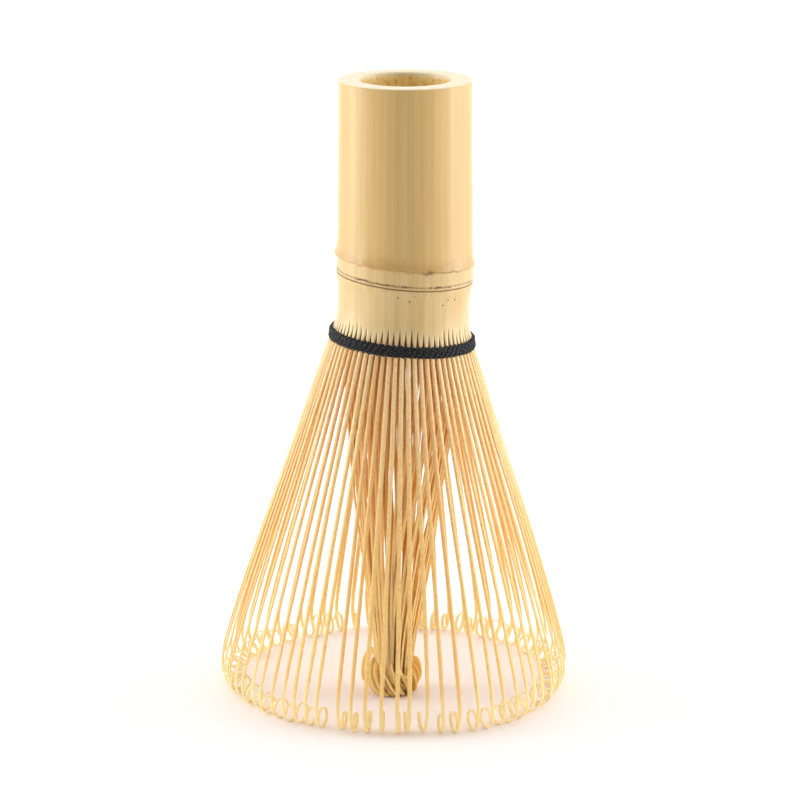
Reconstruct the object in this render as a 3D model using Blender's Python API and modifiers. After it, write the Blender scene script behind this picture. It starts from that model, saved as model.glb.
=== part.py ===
"""A bamboo tea whisk that stands on its tines: metres, +Z up, origin on the floor under the crown.

The culm is turned in a straight design frame. settle() then carries every piece to where the
bamboo grew: a node that sits aslant, and a crook that sets the handle to one side of the crown.
"""

import math

import bmesh
import bpy
import numpy as np
from mathutils import Matrix, Vector

# Overall sizes
HEIGHT = 0.113  # floor to rim
CROWN_RADIUS = 0.0323  # the outer tines at their widest
BAND_Z = 0.0658  # middle of the thread, where the tines bend

# Culm
RIM_RADIUS = 0.0120
BORE_RADIUS = 0.0082
RIM_CHAMFER = 0.0003
NODE_Z = 0.0810  # crest of the node's ridge
NODE_RISE = 0.0009  # how far the ridge stands proud of the wall
NODE_WALL_RADIUS = 0.0121
DIAPHRAGM = 0.0030  # thickness of the wall that closes the culm at its node
WAIST_Z = 0.0710
WAIST_RADIUS = 0.0119
CULM_STEPS = 36

# Crown of tines
TINES = 72  # outer tines, and as many inner ones
GROUPS = 12  # first splits of the culm, each cut into the same number of tines
ROOT_WALL = 0.0008  # thickness of the skin that the outer tines are cut from
ROOT_RADIUS = 0.0129  # outside of that skin at the thread
ROOT_ABOVE = 0.0004  # how far a root reaches above and below the hinge line
ROOT_BELOW = 0.0010
ROOT_GAP = 0.0003  # between two roots, and between a root and the culm
SLIT_LENGTH = 0.0042  # the pointed slits between the fingers of the culm
SLIT_WIDTH = 0.00036

TINE_WIDTH = 0.00078
TINE_TIP_WIDTH = 0.00062
TINE_TIP_THICKNESS = 0.00022
TINE_ROOT_LEAN = math.radians(20)
CURL_RADIUS = 0.00185
CURL_EASE = 0.0090  # length over which a tine tightens from straight to the curl's radius
CURL_TURN = math.radians(288)  # heading turned through from the straight tine to its tip
SPREAD_STEPS = 2
CURL_STEPS = 7

# Inner tines
INNER_WALL = 0.00060
INNER_WIDTH = 0.00044
INNER_TIP_WIDTH = 0.00036
INNER_TIP_THICKNESS = 0.00026
INNER_ROOT_RADIUS = 0.01115
BUNDLE_Z = 0.0080  # where the inner tines have closed to their bundle
BUNDLE_RADIUS = 0.0035
BUNDLE_LAYERS = (1.0, 0.67, 0.34)  # shares of the bundle's radius
GROUP_LAYERS = (0, 1, 0, 2, 1, 0)  # the layer that each tine of a group closes to
BUNDLE_TWIST = math.radians(12)
BUNDLE_LEAN_Y = -0.0070  # the bundle's foot hangs towards the front
INNER_STEPS = 3
KNOT_RADIUS = 0.0053
KNOT_LOOP_HEIGHT = 0.0056
STRAIGHT_FOOT_Z = 0.0012

# Thread
THREAD_RADIUS = 0.00031
THREAD_GAP = 0.00016  # between two rows
THREAD_ROWS = 3
THREAD_CLEARANCE = 0.00022  # to the roots, so that they can turn behind it
INNER_THREAD_RADIUS = 0.00023
THREAD_STEPS = 36
THREAD_SIDES = 6

# How the culm grew
TILT = Vector((-0.078, -0.005))  # slope of the node and the thread, along X and Y
TILT_FADES_Z = (0.0090, 0.0640, 0.0840, 0.1000)  # level, aslant, aslant, level
CROOK = ((0.0050, 0.0), (0.0620, 0.0014), (0.0800, 0.0021))  # height, and the axis's X there

BAMBOO_SKIN = (0.80, 0.62, 0.33)
BAMBOO_TINE = (0.84, 0.60, 0.27)
BAMBOO_INNER = (0.74, 0.47, 0.18)
COTTON_BLACK = (0.015, 0.016, 0.018)

THREAD_PITCH = 2 * THREAD_RADIUS + THREAD_GAP
INNER_HINGE_RADIUS = INNER_ROOT_RADIUS - INNER_WALL / 2
OUTER_HINGE_RADIUS = ROOT_RADIUS - ROOT_WALL / 2
CULM_FOOT_Z = BAND_Z + ROOT_ABOVE + ROOT_GAP
SECTOR = 2 * math.pi / GROUPS
TINE_STEP = 2 * math.pi / TINES
INNER_TURN = TINE_STEP / 2  # the inner tines are cut from between the outer ones
PER_GROUP = TINES // GROUPS


def clear_scene():
    for obj in list(bpy.data.objects):
        bpy.data.objects.remove(obj)


def new_collection(name):
    collection = bpy.data.collections.new(name)
    bpy.context.scene.collection.children.link(collection)
    return collection


def material(name, colour, roughness):
    made = bpy.data.materials.new(name)
    made.use_nodes = True
    shader = made.node_tree.nodes["Principled BSDF"]
    shader.inputs["Base Color"].default_value = (*colour, 1.0)
    shader.inputs["Roughness"].default_value = roughness
    shader.inputs["Metallic"].default_value = 0.0
    return made


def axis_x(z):
    heights, offsets = zip(*CROOK)
    return float(np.interp(z, heights, offsets))


def settle(point):
    """Carries a point from the straight design to the culm as it grew."""
    x, y, z = point
    low, aslant, still, high = TILT_FADES_Z
    share = float(np.interp(z, (low, aslant, still, high), (0.0, 1.0, 1.0, 0.0)))
    radius = max(math.hypot(x, y), 1e-9)
    reach = min(radius, ROOT_RADIUS) / radius
    rise = share * reach * (TILT.x * x + TILT.y * y)
    return Vector((x + axis_x(z), y, z + rise))


def settle_mesh(obj):
    for vertex in obj.data.vertices:
        vertex.co = settle(vertex.co)


def polar(radius, azimuth, z):
    return Vector((radius * math.cos(azimuth), radius * math.sin(azimuth), z))


def add_object(name, mesh, collection, made_of=None):
    obj = bpy.data.objects.new(name, mesh)
    collection.objects.link(obj)
    if made_of:
        mesh.materials.clear()
        mesh.materials.append(made_of)
    return obj


def as_tool(obj):
    obj.hide_render = True
    obj.display_type = "WIRE"
    return obj


def boolean(obj, tool, operation):
    modifier = obj.modifiers.new(tool.name, "BOOLEAN")
    modifier.operation = operation
    modifier.solver = "EXACT"
    modifier.object = tool


def apply_modifiers(obj):
    graph = bpy.context.evaluated_depsgraph_get()
    mesh = bpy.data.meshes.new_from_object(obj.evaluated_get(graph))
    obj.modifiers.clear()
    obj.data = mesh


def loft(shape, sections):
    """Adds a closed rod to a bmesh, through sections whose width and thickness both change."""
    rings = [[shape.verts.new(corner) for corner in section] for section in sections]
    sides = len(rings[0])
    for ring, after in zip(rings, rings[1:]):
        for side in range(sides):
            following = (side + 1) % sides
            shape.faces.new((ring[side], ring[following], after[following], after[side]))
    shape.faces.new(reversed(rings[0]))
    shape.faces.new(rings[-1])


def mesh_of(name, shape):
    bmesh.ops.recalc_face_normals(shape, faces=shape.faces)
    mesh = bpy.data.meshes.new(name)
    shape.to_mesh(mesh)
    shape.free()
    return mesh


# ---- culm -------------------------------------------------------------------------------------


def culm_profile():
    """Half of the culm's section, from the diaphragm's top round the wall to its underside."""
    top = NODE_Z + DIAPHRAGM / 2
    under = NODE_Z - DIAPHRAGM / 2
    wall = NODE_WALL_RADIUS
    bore = [
        (0.0, top),
        (BORE_RADIUS - 0.0010, top),
        (BORE_RADIUS, top + 0.0010),
        (BORE_RADIUS, HEIGHT - RIM_CHAMFER),
        (BORE_RADIUS + RIM_CHAMFER, HEIGHT),
    ]
    outside = [
        (RIM_RADIUS - RIM_CHAMFER, HEIGHT),
        (RIM_RADIUS, HEIGHT - RIM_CHAMFER),
        (RIM_RADIUS, HEIGHT - 0.0180),
        (wall, NODE_Z + 0.0050),
        (wall + 0.4 * NODE_RISE, NODE_Z + 0.0014),
        (wall + NODE_RISE, NODE_Z),
        (wall + 0.45 * NODE_RISE, NODE_Z - 0.0009),
        (wall + 0.35 * NODE_RISE, NODE_Z - 0.0030),
        (wall + 0.10 * NODE_RISE, NODE_Z - 0.0034),
        (wall + 0.35 * NODE_RISE, NODE_Z - 0.0038),
        (wall, NODE_Z - 0.0065),
        (WAIST_RADIUS, WAIST_Z),
        (WAIST_RADIUS + 0.0002, WAIST_Z - 0.0020),
        (ROOT_RADIUS, CULM_FOOT_Z),
    ]
    inner_foot = INNER_ROOT_RADIUS - INNER_WALL
    cavity = [
        (inner_foot, CULM_FOOT_Z),
        (inner_foot, WAIST_Z - 0.0010),
        (BORE_RADIUS + 0.0010, NODE_Z - 0.0060),
        (BORE_RADIUS, under - 0.0010),
        (BORE_RADIUS - 0.0010, under),
        (0.0, under),
    ]
    return bore + outside + cavity


def turned(name, profile, collection, steps):
    mesh = bpy.data.meshes.new(name)
    points = [(radius, 0.0, z) for radius, z in profile]
    mesh.from_pydata(points, [(i, i + 1) for i in range(len(points) - 1)], [])
    obj = add_object(name, mesh, collection)
    screw = obj.modifiers.new("turn", "SCREW")
    screw.axis = "Z"
    screw.steps = steps
    screw.render_steps = steps
    screw.use_merge_vertices = True
    screw.merge_threshold = 0.00005
    apply_modifiers(obj)
    return obj


def slit_cutters(collection):
    """One thin wedge for each slit between two fingers, pointed at its top."""
    shape = bmesh.new()
    inside, outside = INNER_ROOT_RADIUS - 2 * INNER_WALL, ROOT_RADIUS + 0.0010
    below = CULM_FOOT_Z - 0.0010
    spread = SLIT_WIDTH * (SLIT_LENGTH + 0.0010) / SLIT_LENGTH
    for number in range(TINES):
        azimuth = (number + 0.5) * TINE_STEP
        across = Vector((-math.sin(azimuth), math.cos(azimuth), 0.0)) * spread / 2
        faces = []
        for radius in (inside, outside):
            foot = polar(radius, azimuth, below)
            tip = polar(radius, azimuth, CULM_FOOT_Z + SLIT_LENGTH)
            faces.append([foot - across, foot + across, tip])
        loft(shape, faces)
    return as_tool(add_object("slit_cutters", mesh_of("slit_cutters", shape), collection))


def make_culm(collection, tools, made_of):
    culm = turned("handle_culm", culm_profile(), collection, CULM_STEPS)
    boolean(culm, slit_cutters(tools), "DIFFERENCE")
    apply_modifiers(culm)
    settle_mesh(culm)
    culm.data.materials.clear()
    culm.data.materials.append(made_of)
    culm.data.shade_smooth()
    culm.data.set_sharp_from_angle(angle=math.radians(35))


# ---- tines ------------------------------------------------------------------------------------


def hermite(start, start_slope, end, end_slope, share):
    """Radius at a share of the way down, from the radii and slopes at both ends."""
    cube, square = share**3, share**2
    return (
        start * (2 * cube - 3 * square + 1)
        + start_slope * (cube - 2 * square + share)
        + end * (3 * square - 2 * cube)
        + end_slope * (cube - square)
    )


def curl_from(lean):
    """(radius, height, heading) down a tine from where it starts to bend, counted from there.

    The curvature grows as the square of the length over CURL_EASE and then stays at the curl's.
    Heading is 0 straight down, and falls as the tine turns inwards.
    """
    steps_in_ease = 60
    length = CURL_EASE / steps_in_ease
    radius = height = travelled = 0.0
    heading = lean
    path = [(radius, height, heading)]
    while lean - heading < CURL_TURN:
        tight = min((travelled / CURL_EASE) ** 2, 1.0) / CURL_RADIUS
        heading -= tight * length
        travelled += length
        radius += math.sin(heading) * length
        height -= math.cos(heading) * length
        path.append((radius, height, heading))
    return path


def outer_lean():
    """Lean of the straight tine at which its curl meets the floor and the crown's radius."""
    lean = TINE_ROOT_LEAN
    for _ in range(8):
        path = curl_from(lean)
        bend_radius = CROWN_RADIUS - TINE_TIP_THICKNESS / 2 - max(p[0] for p in path)
        bend_z = TINE_TIP_THICKNESS / 2 - min(p[1] for p in path)
        lean = math.atan2(bend_radius - OUTER_HINGE_RADIUS, BAND_Z - bend_z)
    return lean, bend_radius, bend_z


def outer_path():
    """(radius, z, heading) of an outer tine's middle, from inside its root to its tip."""
    lean, bend_radius, bend_z = outer_lean()
    drop = BAND_Z - bend_z
    path = []
    for step in range(SPREAD_STEPS):
        share = step / SPREAD_STEPS
        radius = hermite(
            OUTER_HINGE_RADIUS,
            drop * math.tan(TINE_ROOT_LEAN),
            bend_radius,
            drop * math.tan(lean),
            share,
        )
        path.append((radius, BAND_Z - share * drop, lean))
    curl = curl_from(lean)
    turned_by = [0.0] + [lean - heading for _, _, heading in curl[1:]]
    for step in range(CURL_STEPS + 1):
        wanted = CURL_TURN * (step / CURL_STEPS) ** 1.35
        at = int(np.searchsorted(turned_by, wanted))
        radius, height, heading = curl[min(at, len(curl) - 1)]
        path.append((bend_radius + radius, bend_z + height, heading))
    return path


def flat_section(radius, z, heading, azimuth, width, thickness, centre=Vector((0, 0))):
    """Four corners across a tine that runs at that heading in the plane of that azimuth."""
    outward = Vector((math.cos(azimuth), math.sin(azimuth), 0.0))
    across = Vector((-outward.y, outward.x, 0.0)) * width / 2
    through = outward * math.cos(heading) + Vector((0, 0, 1)) * math.sin(heading)
    through *= thickness / 2
    middle = outward * radius + Vector((centre[0], centre[1], z))
    corners = (
        middle - across - through,
        middle + across - through,
        middle + across + through,
        middle - across + through,
    )
    return [settle(corner) for corner in corners]


def along(path):
    """Share of a path's length at each of its points."""
    points = [Vector((radius, z)) for radius, z, *_ in path]
    lengths = [0.0]
    for before, after in zip(points, points[1:]):
        lengths.append(lengths[-1] + (after - before).length)
    return [length / lengths[-1] for length in lengths]


def outer_tine(shape, path, azimuth):
    sections = []
    for share, (radius, z, heading) in zip(along(path), path):
        width = TINE_WIDTH + share * (TINE_TIP_WIDTH - TINE_WIDTH)
        thickness = ROOT_WALL * 0.9 + share**0.6 * (TINE_TIP_THICKNESS - ROOT_WALL * 0.9)
        sections.append(flat_section(radius, z, heading, azimuth, width, thickness))
    loft(shape, sections)


def bundle_share(z):
    """1 at the thread and 0 where the bundle has closed, bowed outwards between."""
    height = (z - BUNDLE_Z) / (BAND_Z - BUNDLE_Z)
    return height * (1.4 - 0.4 * height)


def inner_path(layer):
    """(radius, z, heading, fall) of an inner tine's middle; fall runs from 0 to 1 down it."""
    foot = BUNDLE_RADIUS * BUNDLE_LAYERS[layer]
    path = []
    for step in range(INNER_STEPS + 1):
        z = BAND_Z - (BAND_Z - BUNDLE_Z) * step / INNER_STEPS
        open_share = bundle_share(z)
        radius = foot + (INNER_HINGE_RADIUS - foot) * open_share
        path.append((radius, z, math.radians(-8), 1 - (z - BUNDLE_Z) / (BAND_Z - BUNDLE_Z)))
    if layer:
        path.append((foot, STRAIGHT_FOOT_Z, 0.0, 1.0))
        return path
    centre = (foot + KNOT_RADIUS) / 2
    loop = (KNOT_RADIUS - foot) / 2
    for turn in (0, 60, 120, 180):
        angle = math.radians(turn)
        z = INNER_TIP_THICKNESS + loop * (1 - math.sin(angle))
        path.append((centre - loop * math.cos(angle), z, angle, 1.0))
    tip = (KNOT_RADIUS - 0.3 * loop, KNOT_LOOP_HEIGHT, math.radians(195), 1.0)
    return path + [tip]


def inner_tine(shape, layer, azimuth, foot_azimuth):
    path = inner_path(layer)
    sections = []
    for share, (radius, z, heading, fall) in zip(along(path), path):
        turn = foot_azimuth + BUNDLE_TWIST - azimuth
        width = INNER_WIDTH + share * (INNER_TIP_WIDTH - INNER_WIDTH)
        thickness = INNER_WALL * 0.8 + share * (INNER_TIP_THICKNESS - INNER_WALL * 0.8)
        centre = (0.0, BUNDLE_LEAN_Y * fall)
        sections.append(
            flat_section(radius, z, heading, azimuth + turn * fall, width, thickness, centre)
        )
    loft(shape, sections)


def root_block(inner_radius, outer_radius, azimuth):
    """The uncut arc of the culm's wall that one group of tines grows from."""
    shape = bmesh.new()
    half = SECTOR / 2 - ROOT_GAP / 2 / outer_radius
    steps = PER_GROUP
    low, high = BAND_Z - ROOT_BELOW, BAND_Z + ROOT_ABOVE
    sections = []
    for step in range(steps + 1):
        at = azimuth - half + 2 * half * step / steps
        corners = (
            polar(inner_radius, at, low),
            polar(outer_radius, at, low),
            polar(outer_radius, at, high),
            polar(inner_radius, at, high),
        )
        sections.append([settle(corner) for corner in corners])
    loft(shape, sections)
    return shape


def tine_azimuths(group, turn=0.0):
    first = group * PER_GROUP
    return [(first + number) * TINE_STEP + turn for number in range(PER_GROUP)]


def make_group(name, hinge, block, tines, collection, tools, made_of):
    """Joins a root block to its tines, with the object's origin on the hinge it flexes about."""
    obj = add_object(name, mesh_of(name, block), collection, made_of)
    obj.data.transform(Matrix.Translation(-hinge))
    obj.location = hinge
    tool = as_tool(add_object(name + "_rods", mesh_of(name + "_rods", tines), tools))
    boolean(obj, tool, "UNION")


def make_outer_groups(collection, tools, made_of):
    path = outer_path()
    for group in range(GROUPS):
        tines = bmesh.new()
        azimuths = tine_azimuths(group)
        for azimuth in azimuths:
            outer_tine(tines, path, azimuth)
        middle = (azimuths[0] + azimuths[-1]) / 2
        hinge = settle(polar(OUTER_HINGE_RADIUS, middle, BAND_Z))
        block = root_block(ROOT_RADIUS - ROOT_WALL, ROOT_RADIUS, middle)
        name = f"outer_tines_{group + 1:02d}"
        make_group(name, hinge, block, tines, collection, tools, made_of)


def make_inner_groups(collection, tools, made_of):
    for group in range(GROUPS):
        tines = bmesh.new()
        azimuths = tine_azimuths(group, INNER_TURN)
        middle = (azimuths[0] + azimuths[-1]) / 2
        for number, azimuth in enumerate(azimuths):
            layer = GROUP_LAYERS[number]
            before = GROUP_LAYERS[:number].count(layer)
            spread = SECTOR / GROUP_LAYERS.count(layer)
            foot = middle + (before - (GROUP_LAYERS.count(layer) - 1) / 2) * spread
            inner_tine(tines, layer, azimuth, foot)
        hinge = settle(polar(INNER_HINGE_RADIUS, middle, BAND_Z))
        block = root_block(INNER_ROOT_RADIUS - INNER_WALL, INNER_ROOT_RADIUS, middle)
        name = f"inner_tines_{group + 1:02d}"
        make_group(name, hinge, block, tines, collection, tools, made_of)


# ---- thread -----------------------------------------------------------------------------------


def thread_ring(name, ring_radius, z, tube_radius, collection, made_of):
    """One turn of the thread, closed on itself, in the slanting plane of the band."""
    bpy.ops.mesh.primitive_torus_add(
        major_segments=THREAD_STEPS,
        minor_segments=THREAD_SIDES,
        major_radius=ring_radius,
        minor_radius=tube_radius,
    )
    obj = bpy.context.object
    obj.name = obj.data.name = name
    for owner in list(obj.users_collection):
        owner.objects.unlink(obj)
    collection.objects.link(obj)
    for vertex in obj.data.vertices:
        vertex.co = settle(vertex.co + Vector((0, 0, z)))
    obj.data.materials.append(made_of)
    obj.data.shade_smooth()


def outside_of_tines(z):
    """Radius of the surface that the thread is wound on: the roots, then the tines' own flare."""
    flare = OUTER_HINGE_RADIUS + max(BAND_Z - z, 0.0) * math.tan(TINE_ROOT_LEAN)
    return max(ROOT_RADIUS, flare + ROOT_WALL / 2 / math.cos(TINE_ROOT_LEAN))


def make_thread(collection, made_of):
    for row in range(THREAD_ROWS):
        z = BAND_Z + (row - (THREAD_ROWS - 1) / 2) * THREAD_PITCH
        outside = outside_of_tines(z - THREAD_RADIUS / 2) + THREAD_CLEARANCE + THREAD_RADIUS
        thread_ring(f"thread_row_{row + 1}", outside, z, THREAD_RADIUS, collection, made_of)
    between = (ROOT_RADIUS - ROOT_WALL + INNER_ROOT_RADIUS) / 2
    z = BAND_Z - ROOT_BELOW / 2
    thread_ring("thread_inside_row", between, z, INNER_THREAD_RADIUS, collection, made_of)


def main():
    clear_scene()
    parts = new_collection("bamboo_tea_whisk")
    tools = new_collection("tools")
    skin = material("bamboo_culm", BAMBOO_SKIN, 0.42)
    outer = material("bamboo_outer_tine", BAMBOO_TINE, 0.50)
    inner = material("bamboo_inner_tine", BAMBOO_INNER, 0.58)
    cotton = material("cotton_thread", COTTON_BLACK, 0.85)
    make_culm(parts, tools, skin)
    make_outer_groups(parts, tools, outer)
    make_inner_groups(parts, tools, inner)
    make_thread(parts, cotton)


main()
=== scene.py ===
"""The look of the bamboo tea whisk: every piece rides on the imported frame, in metres."""

import math
import random

import bmesh
import bpy
import numpy as np
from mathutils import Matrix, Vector


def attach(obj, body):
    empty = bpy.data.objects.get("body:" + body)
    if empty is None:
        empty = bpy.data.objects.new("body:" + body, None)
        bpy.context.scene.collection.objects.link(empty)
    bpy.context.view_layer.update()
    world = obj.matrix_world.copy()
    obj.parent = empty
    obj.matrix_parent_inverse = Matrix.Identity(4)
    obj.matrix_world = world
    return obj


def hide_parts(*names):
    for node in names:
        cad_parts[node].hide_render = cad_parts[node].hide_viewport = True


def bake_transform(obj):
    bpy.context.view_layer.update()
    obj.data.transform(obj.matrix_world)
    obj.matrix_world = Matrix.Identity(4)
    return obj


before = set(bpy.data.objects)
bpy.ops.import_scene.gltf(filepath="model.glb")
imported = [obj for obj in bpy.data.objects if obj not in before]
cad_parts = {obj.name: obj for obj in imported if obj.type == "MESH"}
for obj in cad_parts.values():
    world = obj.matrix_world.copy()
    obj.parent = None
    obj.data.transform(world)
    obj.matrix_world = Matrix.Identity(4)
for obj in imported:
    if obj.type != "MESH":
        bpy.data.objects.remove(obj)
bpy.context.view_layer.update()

MM = 0.001
chance = random.Random(41)

# The culm and the crown, as the CAD has them
CROWN_RADIUS = 0.0323
BAND_Z = 0.0658
LIP_Z = 0.0803
GROOVE_Z = 0.0776
UPPER_SCRATCH = 0.33  # mm over the middle of the groove
LOWER_SCRATCH = 0.32  # mm under it
TINES = 72
PER_GROUP = 6
GROUPS = TINES // PER_GROUP
TINE_STEP = 2 * math.pi / TINES
OUTER_ROOT = 0.0125
INNER_ROOT = 0.01085
BUNDLE_Z = 0.0080
BUNDLE_RADIUS = 0.0035
BUNDLE_LEAN = 0.0070  # of the bundle's foot towards the front
BUNDLE_LAYERS = (1.0, 0.67, 0.34)
GROUP_LAYERS = (0, 1, 0, 2, 1, 0)
TILT = (-0.078, -0.005)
TILT_FADES_Z = (0.0090, 0.0640, 0.0840, 0.1000)
TILT_REACH = 0.0129  # the tilt doesn't grow beyond this radius
CROOK = ((0.0050, 0.0), (0.0620, 0.0014), (0.0800, 0.0021))


def settle(points):
    """Carries points from the straight design to the aslant, crooked culm."""
    points = np.array(points, float).reshape(-1, 3)
    share = np.interp(points[:, 2], TILT_FADES_Z, (0.0, 1.0, 1.0, 0.0))
    radius = np.maximum(np.hypot(points[:, 0], points[:, 1]), 1e-9)
    reach = np.minimum(radius, TILT_REACH) / radius
    rise = share * reach * (TILT[0] * points[:, 0] + TILT[1] * points[:, 1])
    heights, offsets = zip(*CROOK)
    moved = points.copy()
    moved[:, 0] += np.interp(points[:, 2], heights, offsets)
    moved[:, 2] += rise
    return moved


def smooth(value, low, high):
    """0 at low and 1 at high, eased at both; low may be the greater of the two."""
    share = np.clip((value - low) / (high - low), 0.0, 1.0)
    return share * share * (3 - 2 * share)


class Ripple:
    """A smooth random function of the angle round the culm, the same on every run."""

    def __init__(self, waves, seed):
        picks = random.Random(seed)
        self.terms = [
            (wave, picks.uniform(0, 2 * math.pi), picks.uniform(0.5, 1.0) / wave**0.5)
            for wave in waves
        ]
        self.scale = 1 / sum(size for _, _, size in self.terms)

    def __call__(self, angle):
        total = sum(size * np.sin(wave * angle + phase) for wave, phase, size in self.terms)
        return total * self.scale


def mesh_object(name, points, faces, attributes=(), sharp=None):
    mesh = bpy.data.meshes.new(name)
    mesh.from_pydata([tuple(p) for p in points], [], [tuple(f) for f in faces])
    for label, values in attributes:
        layer = mesh.attributes.new(label, "FLOAT", "POINT")
        layer.data.foreach_set("value", np.array(values, np.float32))
    mesh.shade_smooth()
    if sharp:
        mesh.set_sharp_from_angle(angle=math.radians(sharp))
    obj = bpy.data.objects.new(name, mesh)
    bpy.context.scene.collection.objects.link(obj)
    return obj


# ---- materials --------------------------------------------------------------------------------


class Nodes:
    """Short names for the shader nodes that the materials share."""

    def __init__(self, name):
        self.material = bpy.data.materials.new(name)
        self.material.use_nodes = True
        self.tree = self.material.node_tree
        self.shader = self.tree.nodes["Principled BSDF"]
        self.place = self.add("ShaderNodeTexCoord").outputs["Object"]

    def add(self, kind, **settings):
        node = self.tree.nodes.new(kind)
        for name, value in settings.items():
            setattr(node, name, value)
        return node

    def link(self, source, target):
        self.tree.links.new(source, target)

    def feed(self, socket, value):
        if isinstance(value, bpy.types.NodeSocket):
            self.link(value, socket)
        else:
            socket.default_value = value

    def math(self, operation, first, second=0.0, third=0.0, clamp=False):
        node = self.add("ShaderNodeMath", operation=operation, use_clamp=clamp)
        for socket, value in zip(node.inputs, (first, second, third)):
            self.feed(socket, value)
        return node.outputs[0]

    def attribute(self, name):
        return self.add("ShaderNodeAttribute", attribute_name=name).outputs["Fac"]

    def stretched(self, across, along):
        node = self.add("ShaderNodeMapping")
        node.inputs["Scale"].default_value = (across, across, along)
        self.link(self.place, node.inputs["Vector"])
        return node.outputs["Vector"]

    def noise(self, vector, scale=1.0, detail=3.0, roughness=0.55):
        node = self.add("ShaderNodeTexNoise")
        self.link(vector, node.inputs["Vector"])
        node.inputs["Scale"].default_value = scale
        node.inputs["Detail"].default_value = detail
        node.inputs["Roughness"].default_value = roughness
        return node.outputs["Fac"]

    def span(self, value, low, high, start=0.0, end=1.0):
        node = self.add("ShaderNodeMapRange", interpolation_type="SMOOTHSTEP")
        self.feed(node.inputs["Value"], value)
        node.inputs["From Min"].default_value = low
        node.inputs["From Max"].default_value = high
        node.inputs["To Min"].default_value = start
        node.inputs["To Max"].default_value = end
        return node.outputs["Result"]

    def ramp(self, value, stops):
        node = self.add("ShaderNodeValToRGB")
        self.feed(node.inputs["Fac"], value)
        elements = node.color_ramp.elements
        while len(elements) < len(stops):
            elements.new(0.5)
        for element, (position, colour) in zip(elements, stops):
            element.position = position
            element.color = (*colour, 1.0)
        return node.outputs["Color"]

    def mix(self, share, first, second, blend="MIX"):
        node = self.add("ShaderNodeMix", data_type="RGBA", blend_type=blend)
        self.feed(node.inputs[0], share)
        for socket, value in ((node.inputs[6], first), (node.inputs[7], second)):
            self.feed(socket, (*value, 1.0) if isinstance(value, tuple) else value)
        return node.outputs[2]

    def bump(self, height, distance, strength=1.0):
        node = self.add("ShaderNodeBump")
        node.inputs["Strength"].default_value = strength
        node.inputs["Distance"].default_value = distance
        self.feed(node.inputs["Height"], height)
        self.link(node.outputs["Normal"], self.shader.inputs["Normal"])

    def finish(self, colour, roughness, coat=0.0):
        self.feed(self.shader.inputs["Base Color"], colour)
        self.feed(self.shader.inputs["Roughness"], roughness)
        if coat:
            self.shader.inputs["Coat Weight"].default_value = coat
            self.shader.inputs["Coat Roughness"].default_value = 0.28
        return self.material


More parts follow.
